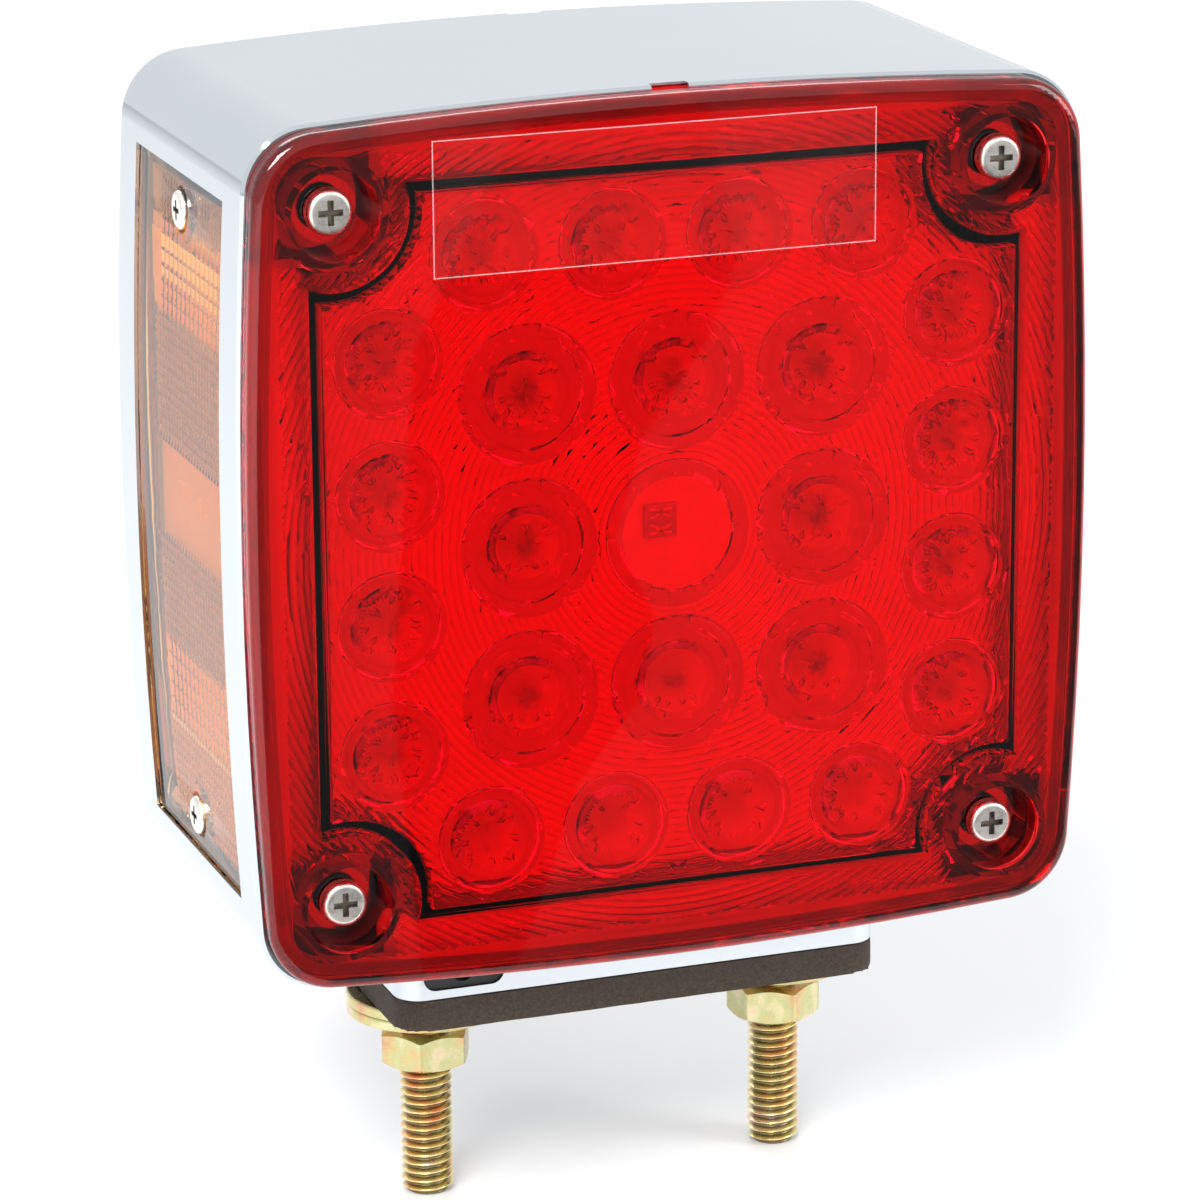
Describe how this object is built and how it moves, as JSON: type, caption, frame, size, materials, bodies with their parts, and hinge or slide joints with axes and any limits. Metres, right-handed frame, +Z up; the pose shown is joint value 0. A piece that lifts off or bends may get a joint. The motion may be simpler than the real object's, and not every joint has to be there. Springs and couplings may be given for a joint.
{
  "type": "trailer tail light",
  "caption": "Square pedestal lamp with a red lens on one face, an amber lens on the other and an amber side marker, in a chrome ring on a pad with threaded studs.",
  "frame": {"origin": "centre of the rubber pad's bottom face, where the lamp sits on its bracket", "axes": "+Z up, -Y the way the red lens faces, +Y the way the amber lens faces, -X the side with the amber marker; the studs point down -Z"},
  "size_m": [0.1302, 0.0708, 0.1757],
  "materials": {
    "chrome": "bright plated",
    "zinc_plate": "zinc plated",
    "steel_screw": "bright nickel plated",
    "pad_rubber": "matt cellular rubber",
    "black_rubber": "matt",
    "yellow_zinc": "yellow zinc plated",
    "red_lens": "clear red, polished",
    "amber_lens": "clear amber, polished",
    "side_amber": "clear amber, polished",
    "white_plastic": "white, satin",
    "board": "white solder mask",
    "led_clear": "clear moulded LED",
    "board_part": "black moulded",
    "clear_film": "clear film"
  },
  "bodies": {
    "lamp": {"amber_board": "board", "amber_board_parts": "board_part", "amber_gasket": "black_rubber", "amber_leds": "led_clear", "amber_lens": "amber_lens", "amber_lens_screws": "steel_screw", "amber_tray": "white_plastic", "base_plate": "zinc_plate", "base_screws": "steel_screw", "clear_label": "clear_film", "housing": "chrome", "lower_reflex_back": "white_plastic", "red_board": "board", "red_board_parts": "board_part", "red_gasket": "black_rubber", "red_leds": "led_clear", "red_lens": "red_lens", "red_lens_screws": "steel_screw", "red_tray": "white_plastic", "rubber_pad": "pad_rubber", "side_board": "board", "side_gasket": "black_rubber", "side_leds": "led_clear", "side_lens": "side_amber", "side_lens_screws": "steel_screw", "side_tray": "white_plastic", "stud_left": "yellow_zinc", "stud_right": "yellow_zinc", "upper_reflex_back": "white_plastic", "wire_grommet": "black_rubber"},
    "washers_left": {"washer_upper_left": "yellow_zinc", "washer_lower_left": "yellow_zinc"},
    "nut_left": {"nut_left": "yellow_zinc"},
    "washers_right": {"washer_upper_right": "yellow_zinc", "washer_lower_right": "yellow_zinc"},
    "nut_right": {"nut_right": "yellow_zinc"}
  },
  "joints": [
    {"name": "turn_left", "type": "hinge", "parent": "lamp", "child": "washers_left", "pos_m": [-0.02857, 0, 0], "axis": [0, 0, 1], "range_deg": [-5025, 752]},
    {"name": "nut_travel_left", "type": "slide", "parent": "washers_left", "child": "nut_left", "axis": [0, 0, 1], "range_m": [-0.0198, 0.003]},
    {"name": "turn_right", "type": "hinge", "parent": "lamp", "child": "washers_right", "pos_m": [0.02857, 0, 0], "axis": [0, 0, 1], "range_deg": [-5025, 752]},
    {"name": "nut_travel_right", "type": "slide", "parent": "washers_right", "child": "nut_right", "axis": [0, 0, 1], "range_m": [-0.0198, 0.003]}
  ],
  "couplings": [
    {"joint": "nut_travel_left", "follows": "turn_left", "m_per_rad": 0.00022459},
    {"joint": "nut_travel_right", "follows": "turn_right", "m_per_rad": 0.00022459}
  ]
}
